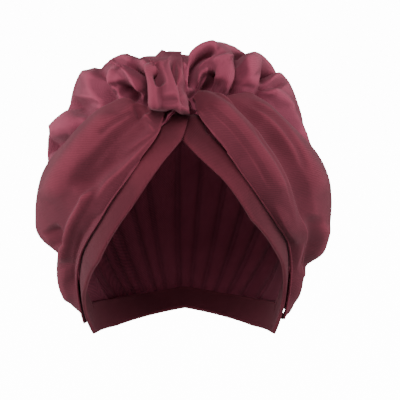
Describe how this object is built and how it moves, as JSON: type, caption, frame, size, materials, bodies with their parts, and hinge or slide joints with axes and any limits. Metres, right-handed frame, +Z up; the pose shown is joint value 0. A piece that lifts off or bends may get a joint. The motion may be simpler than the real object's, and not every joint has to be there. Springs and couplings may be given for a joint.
{
  "type": "turban headwrap",
  "caption": "Soft burgundy jersey turban with gathered crown, front knot, crossed face band and full side drapes, in its worn shape",
  "frame": {"origin": "the inside top of the crown, where the wrap sits on the top of a head", "axes": "+Z up, the face opening looks along -Y, +X is to the right as seen from the front"},
  "size_m": [0.2193, 0.22, 0.2237],
  "materials": {
    "crown_cloth": "matte crepe jersey, burgundy, the lightest of the folds",
    "drape_cloth": "matte crepe jersey, burgundy",
    "band_cloth": "the same jersey folded double",
    "knot_cloth": "the same jersey, one fold over the gathers"
  },
  "bodies": {
    "root": {"crown": "crown_cloth", "left_drape": "drape_cloth", "right_front_drape": "drape_cloth", "right_back_drape": "drape_cloth", "face_band": "band_cloth", "knot_wrap": "knot_cloth"}
  },
  "joints": []
}
